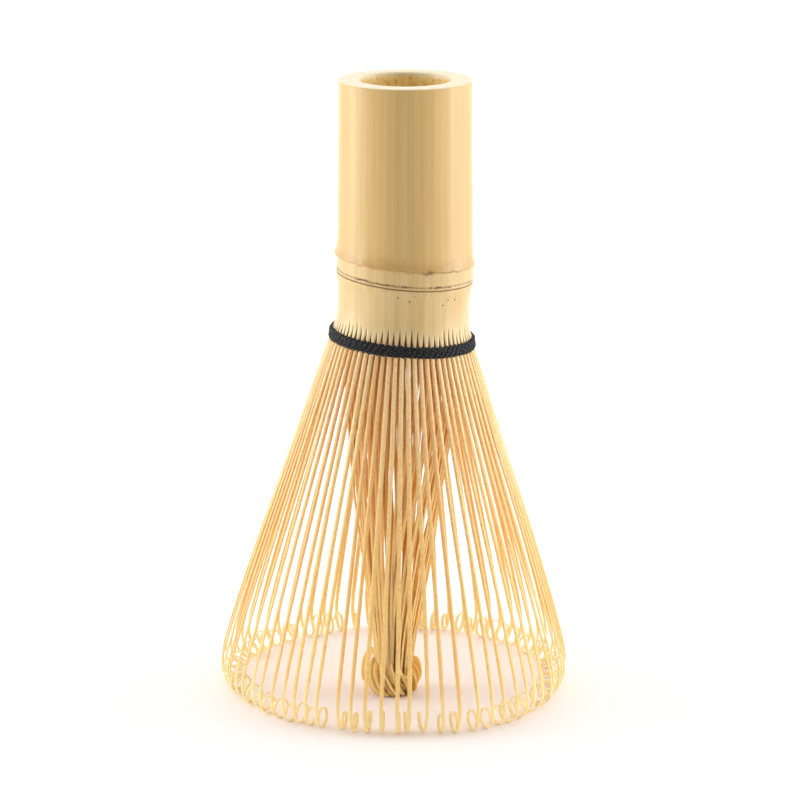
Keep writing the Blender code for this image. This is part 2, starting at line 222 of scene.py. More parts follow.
def culm_material():
    """Shaved bamboo: fine fibres up the culm, a scarred node, a scratched groove and a few pits."""
    n = Nodes("culm_bamboo")
    lip = n.attribute("lip")
    groove = n.attribute("groove")
    inside = n.attribute("inside")
    low = n.attribute("low")
    fibre = n.noise(n.stretched(2600, 34), detail=4.0)
    streak = n.noise(n.stretched(620, 9), detail=2.0)
    cloud = n.noise(n.stretched(120, 60), detail=2.0)
    base = n.ramp(
        n.span(streak, 0.30, 0.70),
        [(0.0, (0.665, 0.432, 0.146)), (0.5, (0.700, 0.466, 0.162)), (1.0, (0.740, 0.505, 0.192))],
    )
    below = n.ramp(
        n.span(streak, 0.30, 0.70),
        [(0.0, (0.690, 0.476, 0.195)), (0.5, (0.730, 0.520, 0.228)), (1.0, (0.770, 0.568, 0.270))],
    )
    colour = n.mix(n.span(lip, -0.35, 0.15), below, base)
    colour = n.mix(n.span(fibre, 0.38, 0.72, 0.0, 0.22), colour, (0.56, 0.36, 0.12))
    colour = n.mix(n.span(cloud, 0.52, 0.75, 0.0, 0.20), colour, (0.70, 0.42, 0.15))
    # the tanned swelling over the node, and its torn brown lip
    scar = n.noise(n.stretched(900, 900), detail=4.0)
    ragged = n.math("ADD", lip, n.span(n.noise(n.stretched(260, 420)), 0.3, 0.7, -0.9, 0.9))
    tan = n.math("MULTIPLY", n.span(ragged, 1.7, 0.9), n.span(lip, -0.20, 0.05))
    wide_tan = n.math("MULTIPLY", n.span(lip, 4.5, 0.3), n.span(lip, -0.25, 0.05))
    colour = n.mix(n.math("MULTIPLY", wide_tan, 0.22), colour, (0.620, 0.370, 0.120))
    colour = n.mix(n.math("MULTIPLY", tan, 0.42), colour, (0.560, 0.330, 0.110))
    edge = n.math("ABSOLUTE", n.math("ADD", lip, n.span(scar, 0.2, 0.8, -0.20, 0.20)))
    stretches = n.span(n.noise(n.stretched(150, 150)), 0.35, 0.62)
    torn = n.math("MULTIPLY", n.span(edge, 0.26, 0.02), stretches)
    colour = n.mix(n.math("MULTIPLY", torn, 0.62), colour, (0.360, 0.170, 0.050))
    patch = n.math("MULTIPLY", n.attribute("patch"), n.span(scar, 0.42, 0.60))
    colour = n.mix(patch, colour, (0.160, 0.060, 0.025))
    # the groove: a broken dark line over a clean brown one
    breaks = n.noise(n.stretched(1500, 700), detail=3.0)
    wavering = n.math("ADD", groove, n.span(scar, 0.3, 0.7, -0.10, 0.10))
    to_upper = n.math("ABSOLUTE", n.math("SUBTRACT", wavering, UPPER_SCRATCH))
    faint = n.span(n.noise(n.stretched(230, 60)), 0.40, 0.55, 0.45, 1.0)
    worn = n.math("MULTIPLY", n.span(breaks, 0.44, 0.54, 0.25, 1.0), faint)
    upper = n.math("MULTIPLY", n.span(to_upper, 0.30, 0.08), worn)
    to_lower = n.math("ABSOLUTE", n.math("ADD", groove, LOWER_SCRATCH))
    lower = n.span(to_lower, 0.20, 0.05)
    colour = n.mix(n.math("MULTIPLY", upper, 0.88), colour, (0.110, 0.060, 0.030))
    colour = n.mix(n.math("MULTIPLY", lower, 0.80), colour, (0.210, 0.095, 0.035))
    # pits
    cells = n.add("ShaderNodeTexVoronoi")
    n.link(n.stretched(1000, 1000), cells.inputs["Vector"])
    cells.inputs["Scale"].default_value = 1.0
    dots = n.span(cells.outputs["Distance"], 0.22, 0.12)
    pick = n.add("ShaderNodeSeparateColor")
    n.link(cells.outputs["Color"], pick.inputs[0])
    dots = n.math("MULTIPLY", dots, n.math("GREATER_THAN", pick.outputs[0], 0.72))
    dots = n.math("MULTIPLY", dots, n.attribute("pits"))
    colour = n.mix(dots, colour, (0.130, 0.055, 0.025))
    # the cut fingers pale towards the thread; the bore is rough and golden, the rim sawn
    colour = n.mix(n.math("MULTIPLY", low, 0.55), colour, (0.900, 0.740, 0.450))
    rough_wall = n.ramp(
        n.noise(n.stretched(1100, 900), detail=5.0),
        [(0.3, (0.820, 0.480, 0.140)), (0.5, (1.000, 0.760, 0.310)), (0.7, (1.000, 0.880, 0.500))],
    )
    colour = n.mix(n.span(inside, 0.1, 0.9), colour, rough_wall)
    # painted shade: the inner side of the split wall, seen through the notches, is darkened almost
    # to black-brown for the shadow deep in the gaps
    colour = n.mix(n.attribute("wall"), colour, (0.200, 0.075, 0.016))
    grain = n.add("ShaderNodeTexVoronoi")
    n.link(n.stretched(2600, 2600), grain.inputs["Vector"])
    grain.inputs["Scale"].default_value = 1.0
    vessels = n.span(grain.outputs["Distance"], 0.15, 0.45)
    sawn = n.mix(vessels, (0.850, 0.720, 0.470), (0.930, 0.830, 0.580))
    colour = n.mix(n.attribute("cut"), colour, sawn)
    height = n.math("ADD", n.math("MULTIPLY", fibre, 0.5), n.math("MULTIPLY", scar, 0.25))
    height = n.math("SUBTRACT", height, n.math("ADD", upper, lower))
    height = n.math("SUBTRACT", height, n.math("MULTIPLY", torn, 0.4))
    pith = n.math("MULTIPLY", inside, n.noise(n.stretched(1900, 1500), detail=4.0))
    height = n.math("ADD", height, n.math("MULTIPLY", pith, 6.0))
    n.bump(height, 0.00006, 0.50)
    return n.finish(colour, n.span(fibre, 0.3, 0.7, 0.34, 0.46), coat=0.15)


def tine_material(name, root, shaft, dark, tip, tip_under, glow):
    """Split bamboo: one colour at the root and another below, with darker fibres along it, painted
    shade on the faces that look inwards and a painted glow at the tips.
    """
    n = Nodes(name)
    along = n.attribute("along")
    tone = n.attribute("tone")
    fibre = n.noise(n.stretched(4600, 50), detail=3.0)
    colour = n.mix(n.span(along, 0.02, 0.55), root, shaft)
    colour = n.mix(n.math("MULTIPLY", n.span(tone, 0.35, 1.0), 0.40), colour, dark)
    colour = n.mix(n.span(fibre, 0.46, 0.66, 0.0, 0.50), colour, dark)
    # painted shade: the face that looks inwards (into the crown on the outer tines, towards the
    # middle of the bundle on the inner ones) is darkened towards the dark colour
    colour = n.mix(n.math("MULTIPLY", n.attribute("face"), 0.40), colour, dark)
    # painted glow: the curls and the knot are painted in the paler tip colour for the light that
    # shines through them; on the inner tines it goes mostly on the faces that look outwards
    tip_share = n.span(n.attribute("face"), 0.0, 1.0, 0.80, tip_under)
    colour = n.mix(n.math("MULTIPLY", n.attribute("knot"), tip_share), colour, tip)
    n.bump(fibre, 0.00003, 0.5)
    n.shader.inputs["Subsurface Weight"].default_value = glow
    n.shader.inputs["Subsurface Radius"].default_value = (1.0, 0.8, 0.5)
    n.shader.inputs["Subsurface Scale"].default_value = 0.0012
    return n.finish(colour, n.span(fibre, 0.3, 0.7, 0.36, 0.50))


def thread_material():
    """Black cotton: two twisted plies, with a painted highlight of paler grey along the crest of
    each ply, broken by fibre noise.
    """
    n = Nodes("black_cotton")
    ply = n.attribute("ply")
    fibre = n.noise(n.stretched(5200, 5200), detail=3.0)
    # painted highlight: the crest of each ply is painted grey
    colour = n.ramp(
        n.math("ADD", n.math("MULTIPLY", ply, 0.55), n.math("MULTIPLY", fibre, 0.45)),
        [(0.3, (0.001, 0.001, 0.001)), (0.62, (0.007, 0.007, 0.008)),
         (0.84, (0.110, 0.115, 0.125))],
    )
    n.bump(n.math("ADD", ply, n.math("MULTIPLY", fibre, 0.5)), 0.00006, 0.9)
    n.shader.inputs["Specular IOR Level"].default_value = 0.34
    n.shader.inputs["Sheen Weight"].default_value = 0.04
    n.shader.inputs["Sheen Roughness"].default_value = 0.45
    return n.finish(colour, 0.72)


def fuzz_material():
    n = Nodes("cotton_fuzz")
    tint = n.noise(n.stretched(900, 900), detail=2.0)
    # painted glints: the loose black fibres are painted grey in patches, as if they caught the
    # light
    colour = n.ramp(tint, [(0.3, (0.015, 0.016, 0.018)), (0.7, (0.200, 0.205, 0.210))])
    return n.finish(colour, 0.8)


def floor_material():
    n = Nodes("pale_floor")
    tint = n.noise(n.stretched(3, 3), detail=2.0)
    colour = n.mix(n.span(tint, 0.3, 0.7), (0.930, 0.905, 0.890), (0.940, 0.918, 0.905))
    return n.finish(colour, 0.9)


# ---- culm -------------------------------------------------------------------------------------

COLUMNS = 6  # for each finger between two notches
CULM_FOOT_Z = 0.0659  # the lowest row of the skin, behind the thread
PITS_Z = 0.0748
NOTCH_FOOT = 0.0007  # over the band
NOTCH_TOP = 0.00290  # mean height of the notches over NOTCH_FOOT
NOTCH_WIDTH = 0.33  # share of a finger's pitch that a notch takes on one side at the thread

lip_line = Ripple((1, 2, 3, 5, 9, 17), 5)
lip_frays = Ripple((23, 31, 47, 61), 8)
swell = Ripple((1, 2, 3, 4), 12)


def lip_height(angle):
    """Height of the node's torn lip above its mean, in mm."""
    return 0.16 * lip_line(angle) + 0.13 * lip_frays(angle) + 0.12 * np.cos(2 * angle)


def groove_height(angle):
    """Height of the groove's middle above its mean, in mm."""
    return 0.08 * lip_line(angle + 1.0) + 0.32 * np.sin(angle)


def outside_radius(angle, z):
    """Radius of the culm's skin, in metres, at an angle and a design height."""
    lip = (z - LIP_Z) / MM - lip_height(angle)
    body = np.interp(
        z / MM,
        (65.8, 66.8, 68.3, 70.2, 71.6, 73.4, 76.0, 84.0, 92.0, 100.0, 113.0),
        (12.88, 12.58, 12.20, 11.97, 11.90, 12.00, 12.14, 12.18, 12.16, 12.06, 12.02),
    )
    swelling = 0.46 + 0.34 * np.maximum(0, -np.cos(angle)) + 0.14 * swell(angle)
    above = swelling * np.exp(-np.maximum(lip, 0) / 1.5) * smooth(lip, -0.10, 0.10)
    shelf = 0.26 * smooth(lip, -5.0, -3.9) * smooth(lip, 0.10, -0.10)
    groove = (z - GROOVE_Z) / MM - groove_height(angle)
    scratch = 0.15 * np.exp(-((groove - UPPER_SCRATCH) ** 2) / 0.016)
    scratch = scratch + 0.13 * np.exp(-((groove + LOWER_SCRATCH) ** 2) / 0.010)
    ripples = 0.03 * swell(angle + z * 60)
    return (body + above + shelf - scratch + ripples) * MM


# the scars in the lip: azimuth, half width, height over the lip in mm and half height in mm
SCARS = ((-1.24, 0.085, 0.05, 0.42), (-0.84, 0.035, 0.10, 0.28), (2.20, 0.090, 0.00, 0.40),
         (0.90, 0.060, 0.10, 0.35), (-3.05, 0.060, -1.75, 0.30))
# the inner side of the split wall: heights and radii in mm
WALL_HEIGHTS = (65.9, 69.6, 71.6, 75.4, 80.0)
WALL_RADII = (11.75, 11.1, 10.5, 9.5, 8.2)
# the rim and the bore: radius and height in mm, and 1 where the wood is sawn
BORE_PROFILE = ((12.0, 112.75, 0), (11.93, 112.88, 1), (11.78, 112.97, 1), (11.6, 112.98, 1),
                (8.70, 112.98, 1), (8.45, 112.93, 1), (8.22, 112.70, 1), (8.18, 112.0, 0),
                (8.20, 108.0, 0), (8.15, 102.0, 0), (8.2, 95.0, 0), (8.1, 88.0, 0),
                (8.0, 84.5, 0), (7.2, 83.0, 0), (5.0, 82.6, 0), (2.5, 82.5, 0), (0.4, 82.5, 0))
BORE_STARTS = 6  # the ring of the profile after which the rough bore begins


def culm_rows():
    """Design heights of the rows of the culm's skin, from the rim down."""
    edges = (
        (112.75, 106.0, 6), (106.0, 86.0, 12), (86.0, 82.0, 12), (82.0, 79.2, 34),
        (79.2, 78.6, 4), (78.6, 76.6, 28), (76.6, 71.8, 7), (71.8, 70.6, 3), (70.6, 65.9, 16),
    )
    heights = []
    for top, foot, count in edges:
        heights += list(np.linspace(top, foot, count, endpoint=False))
    return np.array(heights + [65.9]) * MM


def notch_share(z, top):
    """How far a notch cuts into a finger on one side, as a share of the finger's pitch."""
    drop = np.clip((top - z) / (top - CULM_FOOT_Z), 0.0, 1.0)
    return NOTCH_WIDTH * (0.9 * drop + 0.1 * drop**2)


def make_culm():
    notches = [BAND_Z + NOTCH_FOOT + NOTCH_TOP * chance.uniform(0.74, 1.28)
               for _ in range(TINES)]
    rows = culm_rows()
    points, faces = [], []
    names = ("lip", "groove", "inside", "wall", "low", "cut", "patch", "pits")
    marks = {name: [] for name in names}

    def add(radius, angle, z, inside=0.0, cut=0.0, wall=0.0):
        points.append((radius * math.cos(angle), radius * math.sin(angle), z))
        lip = (z - LIP_Z) / MM - float(lip_height(angle))
        marks["lip"].append(lip)
        marks["groove"].append((z - GROOVE_Z) / MM - float(groove_height(angle)))
        marks["inside"].append(inside)
        marks["wall"].append(wall)
        marks["cut"].append(cut)
        marks["low"].append(float(smooth(z, BAND_Z + 0.0052, BAND_Z + 0.0006)))
        side = (angle + math.pi) % (2 * math.pi) - math.pi
        patch = 0.0
        for at, half_width, over, half_height in SCARS:
            reach = ((side - at) / half_width) ** 2 + ((lip - over) / half_height) ** 2
            patch = max(patch, math.exp(-reach))
        marks["patch"].append(patch)
        marks["pits"].append(float(smooth(abs(z - PITS_Z), 0.0018, 0.0007)))
        return len(points) - 1

    skin_columns, wall_columns = [], []
    for finger in range(TINES):
        middle = finger * TINE_STEP
        left, right = notches[finger - 1], notches[finger]
        skin, wall = [], []
        for column in range(COLUMNS + 1):
            across = column / COLUMNS - 0.5
            outer_line, inner_line = [], []
            for z in rows:
                give = notch_share(z, left if across < 0 else right) * (abs(across) / 0.5)
                angle = middle + (across - math.copysign(give, across)) * TINE_STEP
                rounded = 0.00007 * (abs(across) / 0.5) ** 4 * min(1.0, give / 0.03)
                outer_line.append(add(float(outside_radius(angle, z)) - rounded, angle, z))
                if z < WALL_HEIGHTS[-1] * MM:
                    depth = np.interp(z / MM, WALL_HEIGHTS, WALL_RADII)
                    # the inner wall takes the painted shade of the notches
                    inner_line.append(add(depth * MM, angle, z, wall=0.85))
            skin.append(outer_line)
            wall.append(inner_line)
        skin_columns.append(skin)
        wall_columns.append(wall)
        first_wall = len(rows) - len(wall[0])
        for column in range(COLUMNS):
            for row in range(len(rows) - 1):
                faces.append((skin[column][row], skin[column][row + 1],
                              skin[column + 1][row + 1], skin[column + 1][row]))
            for row in range(len(wall[0]) - 1):
                faces.append((wall[column][row], wall[column + 1][row],
                              wall[column + 1][row + 1], wall[column][row + 1]))
            faces.append((skin[column][-1], wall[column][-1],
                          wall[column + 1][-1], skin[column + 1][-1]))
        for column, top, turn in ((0, left, 1), (COLUMNS, right, -1)):
            for row in range(first_wall, len(rows) - 1):
                if rows[row + 1] < top:
                    inner = row - first_wall
                    side = (skin[column][row], wall[column][inner],
                            wall[column][inner + 1], skin[column][row + 1])
                    faces.append(side[::turn])
    bore = []
    steps = TINES * COLUMNS
    rough = Ripple((3, 5, 7, 11, 13, 19), 21)
    for ring, (radius, z, cut) in enumerate(BORE_PROFILE):
        inside = float(ring > BORE_STARTS)
        line = []
        for step in range(steps):
            angle = (step / COLUMNS - 0.5) * TINE_STEP
            if inside:
                wave = 0.10 * float(rough(angle + z * 0.13))
            else:
                wave = 0.04 * float(rough(angle)) * (ring > 3)
            line.append(add((radius + wave) * MM, angle, z * MM, inside=inside, cut=cut))
        bore.append(line)
    for before, after in zip(bore, bore[1:]):
        for step in range(steps):
            following = (step + 1) % steps
            faces.append((before[step], before[following], after[following], after[step]))
    faces.append(tuple(reversed(bore[-1])))
    top = [wall_columns[f][c][0] for f in range(TINES) for c in range(COLUMNS)]
    faces.append(tuple(top))
    culm = mesh_object("culm", settle(points), faces, list(marks.items()))
    merge(culm, 0.000004)
    culm.data.set_sharp_from_angle(angle=math.radians(50))
    culm.data.materials.append(culm_material())
    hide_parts("handle_culm")
    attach(culm, "culm")


def merge(obj, distance):
    """Joins the corners of faces that meet, and turns every face outwards."""
    shape = bmesh.new()
    shape.from_mesh(obj.data)
    bmesh.ops.remove_doubles(shape, verts=shape.verts, dist=distance)
    bmesh.ops.recalc_face_normals(shape, faces=shape.faces)
    shape.to_mesh(obj.data)
    shape.free()


# ---- tines ------------------------------------------------------------------------------------

SECTION = ((-0.5, -0.25), (-0.5, 0.10), (-0.36, 0.36), (-0.08, 0.5), (0.26, 0.44),
           (0.5, 0.10), (0.5, -0.25), (0.38, -0.5), (-0.38, -0.5))


class Rods:
    """Gathers the tines of one group into one mesh."""

    def __init__(self):
        self.points, self.faces = [], []
        self.along, self.tone, self.face, self.knot = [], [], [], []

    def add(self, path, faces_out, widths, thicknesses, tone, knot=None):
        """Adds a rod along path; faces_out says which way its skin looks at each point."""
        path = np.array(path, float)
        knot = np.zeros(len(path)) if knot is None else knot
        ahead = np.gradient(path, axis=0)
        ahead /= np.linalg.norm(ahead, axis=1)[:, None]
        out = np.array(faces_out, float)
        out -= (out * ahead).sum(1)[:, None] * ahead
        out /= np.linalg.norm(out, axis=1)[:, None]
        across = np.cross(ahead, out)
        lengths = np.concatenate(([0.0], np.cumsum(np.linalg.norm(np.diff(path, axis=0), axis=1))))
        first = len(self.points)
        for at in range(len(path)):
            for u, v in SECTION:
                place = path[at] + across[at] * u * widths[at] + out[at] * v * thicknesses[at]
                self.points.append(place)
                self.along.append(lengths[at] / lengths[-1])
                self.tone.append(tone)
                self.face.append(1.0 if v < 0 else 0.0)
                self.knot.append(knot[at])
        sides = len(SECTION)
        for at in range(len(path) - 1):
            for side in range(sides):
                following = (side + 1) % sides
                a, b = first + at * sides, first + (at + 1) * sides
                self.faces.append((a + side, a + following, b + following, b + side))
        self.faces.append(tuple(first + side for side in reversed(range(sides))))
        last = first + (len(path) - 1) * sides
        self.faces.append(tuple(last + side for side in range(sides)))

    def finish(self, name, material):
        marks = (("along", self.along), ("tone", self.tone),
                 ("face", self.face), ("knot", self.knot))
        obj = mesh_object(name, settle(self.points), self.faces, marks, sharp=38)
        obj.data.materials.append(material)
        return obj


FIRST_LEAN = 17  # degrees off upright where the curl starts: the first guess of the fit
ROOT_LEAN = 19.2  # degrees off upright at the root
STRAIGHT_POINTS = 26
CURL_POINTS = 46
EASE_STEPS = 70


def curl_from(lean, radius, ease, turn, tighten):
    """(radius, height, heading) down a tine from where it starts to bend, counted from there."""
    length = ease / EASE_STEPS
    place = Vector((0.0, 0.0))
    travelled, heading = 0.0, lean
    path = [(0.0, 0.0, heading)]
    while lean - heading < turn:
        grown = (lean - heading) / turn
        tight = min((travelled / ease) ** 3, 1.0) / radius * (1 + tighten * grown)
        heading -= tight * length
        travelled += length
        place += Vector((math.sin(heading), -math.cos(heading))) * length
        path.append((place.x, place.y, heading))
    return path


def outer_curve(reach, lift, radius, ease, turn, tighten):
    """An outer tine's (radius, z) points in its own plane, from its root to its tip."""
    lean = math.radians(FIRST_LEAN)
    for _ in range(8):
        curl = curl_from(lean, radius, ease, turn, tighten)
        bend_radius = reach - max(p[0] for p in curl)
        bend_z = lift - min(p[1] for p in curl)
        lean = math.atan2(bend_radius - OUTER_ROOT, BAND_Z - bend_z)
    straight = np.linspace(0, 1, STRAIGHT_POINTS, endpoint=False)
    drop = BAND_Z - bend_z
    slope = drop * math.tan(math.radians(ROOT_LEAN))
    end_slope = drop * math.tan(lean)
    cube, square = straight**3, straight**2
    radii = (OUTER_ROOT * (2 * cube - 3 * square + 1) + slope * (cube - 2 * square + straight)
             + bend_radius * (3 * square - 2 * cube) + end_slope * (cube - square))
    points = [(OUTER_ROOT - 0.0002, BAND_Z + 0.0010)]
    points += list(zip(radii, BAND_Z - straight * drop))
    keep = np.linspace(0, 1, CURL_POINTS) ** 1.05
    reached = np.array([lean - p[2] for p in curl])
    lengths = np.linspace(0, 1, len(curl))
    pace = 0.5 * lengths + 0.5 * reached / reached[-1]
    for share in keep:
        at = int(np.searchsorted(pace, share * pace[-1]))
        r, z, _ = curl[min(at, len(curl) - 1)]
        points.append((bend_radius + r, bend_z + z))
    return np.array(points)


# degrees from the front, and by how many degrees the feet of the tines there have strayed
FRONT_DRIFT = ((-70, 0.0), (-40, 1.6), (-35, 0.4), (-25, -0.2), (-20, 1.5), (-10, 1.1),
               (0, 1.2), (5, 0.5), (10, 1.2), (15, 0.2), (20, 0.9), (25, 2.2), (30, 1.6),
               (35, 1.0), (50, 0.4), (70, 0.0))
# degrees from the front, and by how many mm the tines there reach beyond the crown's radius
EXTRA_REACH = ((-45, 0.0), (-38, 0.2), (-31, -0.5), (-24, -0.1), (-15, 0.0), (5, 0.0),
               (10, 0.4), (20, 1.3), (30, 1.9), (40, 2.0), (50, 1.5), (65, 0.5), (80, 0.0))
OUTER_THICKNESS = 0.00024  # of an outer tine in its curl
BELLY = 0.00048  # by how much an outer tine bows outwards, just below its middle
CURL_LENGTH = 0.017
CURL_RADIUS = 0.00190
CURL_EASE = 0.0130  # the length over which a tine bends into its curl


def azimuth_from_front(azimuth):
    """Degrees round from -Y, from -180 to 180, growing towards +X."""
    return (math.degrees(azimuth) + 90 + 180) % 360 - 180


def drift(azimuth):
    """How far a tine's foot has strayed round the crown, in radians."""
    angles, shifts = zip(*FRONT_DRIFT)
    return math.radians(float(np.interp(azimuth_from_front(azimuth), angles, shifts)))


def outer_tine(rods, azimuth):
    """Adds one outer tine, which strays, bows and curls a little differently from the next."""
    stray = drift(azimuth) + math.radians(chance.uniform(-0.5, 0.5))
    angles, extras = zip(*EXTRA_REACH)
    extra = float(np.interp(azimuth_from_front(azimuth), angles, extras)) * MM
    reach = CROWN_RADIUS - OUTER_THICKNESS / 2 - 0.00008 - abs(chance.gauss(0, 0.00022)) + extra
    lift = OUTER_THICKNESS / 2 + 0.00006 + max(0.0, chance.gauss(0, 0.00010))
    radius = CURL_RADIUS * chance.uniform(0.86, 1.10)
    ease = CURL_EASE * chance.uniform(0.92, 1.08)
    turn = math.radians(chance.uniform(372, 428))
    curve = outer_curve(reach, lift, radius, ease, turn, chance.uniform(0.12, 0.34))
    lengths = np.concatenate(([0.0], np.cumsum(np.hypot(*np.diff(curve, axis=0).T))))
    share = lengths / lengths[-1]
    curl_start = 1 - CURL_LENGTH / lengths[-1]
    in_curl = np.clip((share - curl_start) / (1 - curl_start), 0, 1)
    sideways = chance.uniform(-0.0005, 0.0005) + chance.choice((-1, 1)) * 0.0003
    bow = chance.uniform(-0.00035, 0.00035)
    angles = azimuth + stray * smooth(share, 0.0, 0.85)
    radial = np.stack((np.cos(angles), np.sin(angles), np.zeros_like(angles)), axis=1)
    side = np.stack((-np.sin(angles), np.cos(angles), np.zeros_like(angles)), axis=1)
    belly = BELLY * smooth(share, 0.20, 0.58) * smooth(share, 0.88, 0.64)
    path = radial * (curve[:, :1] + belly[:, None])
    path[:, 2] = curve[:, 1]
    bowed = bow * np.sin(np.pi * np.clip(share / 0.8, 0, 1))
    path += side * (sideways * in_curl**1.5 * 2.2 + bowed)[:, None]
    headings = np.gradient(curve, axis=0)
    headings /= np.linalg.norm(headings, axis=1)[:, None]
    out = radial * -headings[:, 1:2]
    out[:, 2] = headings[:, 0]
    widths = np.interp(share, (0, 0.1, 0.75, 1.0), (0.78, 0.84, 0.76, 0.58)) * MM
    widths = widths * chance.uniform(0.92, 1.06)
    thicknesses = np.interp(share, (0, 0.04, 0.3, 0.8, 1.0), (0.72, 0.72, 0.48, 0.26, 0.20)) * MM
    rods.add(path, out, widths, thicknesses, chance.random(), smooth(share, 0.76, 0.86))


def make_outer_tines():
    material = tine_material(
        "outer_tine_bamboo",
        root=(0.940, 0.700, 0.380), shaft=(0.910, 0.585, 0.232), dark=(0.740, 0.365, 0.105),
        tip=(0.960, 0.750, 0.390), tip_under=0.80, glow=0.38,
    )
    for group in range(GROUPS):
        rods = Rods()
        for number in range(PER_GROUP):
            outer_tine(rods, (group * PER_GROUP + number) * TINE_STEP)
        middle = (group * PER_GROUP + (PER_GROUP - 1) / 2) * TINE_STEP
        name = f"outer_tines_{group + 1:02d}"
        obj = rods.finish(f"outer_splints_{group + 1:02d}", material)
        hang(obj, name, middle, OUTER_ROOT, 0.018)


def hang(obj, node, middle, root, spread):
    """Hides the group's CAD part and bakes the group's transform into its mesh."""
    outward = Vector((math.cos(middle), math.sin(middle), 0))
    start = settle([outward * root + Vector((0, 0, BAND_Z - 0.0010))])[0]
    end = settle([outward * (root + spread * 0.33) + Vector((0, 0, BAND_Z - 0.0180))])[0]
    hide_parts(node)
    tuple(start)
    tuple(end)
    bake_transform(obj)


def bundle_share(z):
    """How far the bundle has opened at a height, from 0 at its foot to 1 at the thread."""
    height = (z - BUNDLE_Z) / (BAND_Z - BUNDLE_Z)
    return height * (1.4 - 0.4 * height)


def spline(knots, count):
    """Points on a smooth curve through the knots."""
    knots = np.array(knots, float)
    padded = np.vstack((2 * knots[0] - knots[1], knots, 2 * knots[-1] - knots[-2]))
    made = []
    for at in range(len(knots) - 1):
        a, b, c, d = padded[at:at + 4]
        for t in np.linspace(0, 1, count, endpoint=False):
            made.append(0.5 * (2 * b + (c - a) * t + (2 * a - 5 * b + 4 * c - d) * t**2
                               + (3 * b - a - 3 * c + d) * t**3))
    made.append(knots[-1])
    return np.array(made)


def around(radius, azimuth, z, lean=1.0):
    """A point of the bundle, which leans towards the front by a share of BUNDLE_LEAN."""
    return (radius * math.cos(azimuth), radius * math.sin(azimuth) - BUNDLE_LEAN * lean, z)


BUNDLE_HEIGHTS = (65.0, 60.0, 52.0, 44.0, 36.0, 28.0, 21.0, 15.0, 10.0)  # mm
KNOT_BY_LAYER = (1.0, 0.45, 0.10)  # share of the knot's paler colour, a painted glow, that each layer takes: most on the outer layer, where the light falls
STRAY_LOOPS = {36: 0.0059, 38: 0.0051}  # the tines that stand clear of the knot: their reach


def inner_tine(rods, azimuth, layer, foot_azimuth, number):
    """Adds one inner tine: down the cone of its layer, then out and up into the knot."""
    foot = BUNDLE_RADIUS * BUNDLE_LAYERS[layer]
    azimuth_slip = math.radians(chance.uniform(-3, 3))
    knots = [around(0.01110, azimuth, BAND_Z + 0.0042, 0.0),
             around(0.01095, azimuth, BAND_Z + 0.0020, 0.0)]
    from_front = azimuth_from_front(azimuth)
    right = smooth(from_front, -14, 26) * smooth(from_front, 150, 100)
    twist = math.radians(-10) + azimuth_slip - math.radians(18) * right
    waver = chance.uniform(0, 2 * math.pi)
    for height in BUNDLE_HEIGHTS:
        z = height * MM
        fall = 1 - (z - BUNDLE_Z) / (BAND_Z - BUNDLE_Z)
        radius = foot + (INNER_ROOT - foot) * bundle_share(z)
        away = 0.00022 * math.sin(fall * 7 + waver) * math.sin(math.pi * min(fall, 1.0))
        at = azimuth + (foot_azimuth + twist - azimuth) * smooth(fall, 0.0, 1.05)
        knots.append(around(radius + away, at, z, fall))
    foot_at = foot_azimuth + twist
    swirl = -math.radians(chance.uniform(44, 60))
    if layer == 0:
        shell = (0.00474 if number % 2 else 0.00440) * chance.uniform(0.98, 1.03)
        top = chance.uniform(5.2, 6.9)
        tips = ((foot - 0.0001, 0.0, 5.4), (foot - 0.0001, 0.02, 2.6), (0.00290, 0.10, 0.66),
                (shell - 0.00075, 0.30, 0.62), (shell - 0.00005, 0.55, 2.1), (shell, 0.75, 3.8),
                (shell - 0.0004, 0.9, top - 0.9), (shell - 0.0010, 1.0, top))
    elif layer == 1:
        shell = 0.00395 * chance.uniform(0.96, 1.03)
        top = chance.uniform(4.6, 6.0)
        tips = ((foot, 0.0, 5.0), (foot - 0.0001, 0.05, 2.2), (0.00260, 0.3, 0.85),
                (shell, 0.55, 2.0), (shell, 0.8, top - 1.5), (shell - 0.0007, 1.0, top))
    else:
        tips = ((foot, 0.0, 5.0), (foot + 0.0003, 0.1, 1.6), (foot + 0.0010, 0.4, 0.62),
                (foot + 0.0018, 0.9, 0.9))
    if number in STRAY_LOOPS:
        out = STRAY_LOOPS[number]
        tips = ((0.0037, 0.0, 6.6), (0.0043, 0.1, 2.6), (out - 0.0003, 0.15, 1.9), (out, 0.2, 4.0),
                (out - 0.0004, 0.25, 6.3), (out - 0.0013, 0.3, 7.8), (out - 0.0022, 0.3, 7.2))
    for radius, share, z in tips:
        knots.append(around(radius, foot_at + swirl * share, z * MM))
    path = spline(knots, 4)
    lengths = np.concatenate(([0.0], np.cumsum(np.linalg.norm(np.diff(path, axis=0), axis=1))))
    share = lengths / lengths[-1]
    flat = np.array(path)
    fallen = np.clip(1 - (flat[:, 2] - BUNDLE_Z) / (BAND_Z - BUNDLE_Z), 0, 1)
    flat[:, 1] += BUNDLE_LEAN * fallen
    flat[:, 2] = 0
    radial = flat / np.linalg.norm(flat, axis=1)[:, None]
    ahead = np.gradient(path, axis=0)
    ahead /= np.linalg.norm(ahead, axis=1)[:, None]
    out = radial.copy()
    for at in range(1, len(path)):
        turned = out[at - 1] - ahead[at] * (out[at - 1] @ ahead[at])
        out[at] = turned / np.linalg.norm(turned)
    widths = np.interp(share, (0, 0.1, 0.5, 0.84, 0.90, 1.0),
                       (0.64, 0.64, 0.60, 0.54, 0.64, 0.62)) * MM * chance.uniform(0.9, 1.1)
    thicknesses = np.interp(share, (0, 0.2, 0.8, 0.9, 1.0), (0.42, 0.34, 0.22, 0.24, 0.20)) * MM
    rods.add(path, out, widths, thicknesses, chance.random(),
             smooth(share, 0.875, 0.935) * KNOT_BY_LAYER[layer])


